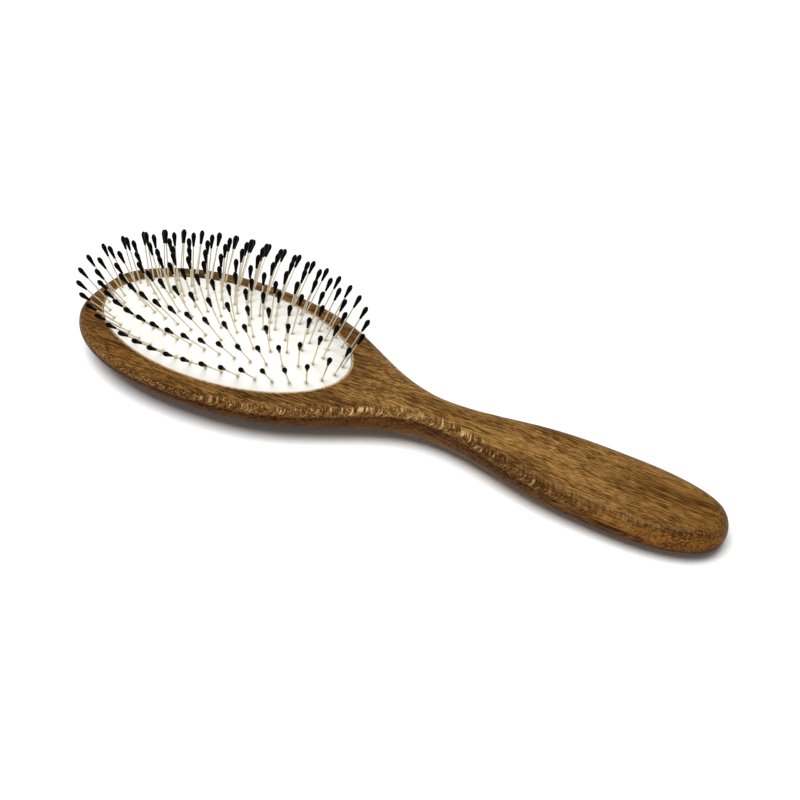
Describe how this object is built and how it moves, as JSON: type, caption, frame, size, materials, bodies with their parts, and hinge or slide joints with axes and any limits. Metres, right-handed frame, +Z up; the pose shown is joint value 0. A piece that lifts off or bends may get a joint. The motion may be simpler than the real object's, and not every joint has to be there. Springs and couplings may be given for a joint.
{
  "type": "pin brush",
  "caption": "Oval wooden pin brush with a domed air cushion of pale rubber, ball-tipped wire pins and a waisted handle, lying on its back.",
  "frame": {"origin": "on the table, under the middle of the brush's length and on its middle line", "axes": "+X along the brush towards the handle end, +Y across it, +Z up, the way the pins point"},
  "size_m": [0.225, 0.0652, 0.0399],
  "materials": {
    "stained_beech": "satin",
    "pale_rubber": "matt",
    "steel_wire": "bright",
    "black_tip": "gloss"
  },
  "bodies": {
    "root": {"wooden_body": "stained_beech", "rubber_cushion": "pale_rubber", "pins_row": "steel_wire", "pins_oval_1": "steel_wire", "pins_oval_2": "steel_wire", "pins_oval_3": "steel_wire", "pins_oval_4": "steel_wire", "pins_oval_5": "steel_wire", "tips_row": "black_tip", "tips_oval_1": "black_tip", "tips_oval_2": "black_tip", "tips_oval_3": "black_tip", "tips_oval_4": "black_tip", "tips_oval_5": "black_tip"}
  },
  "joints": []
}
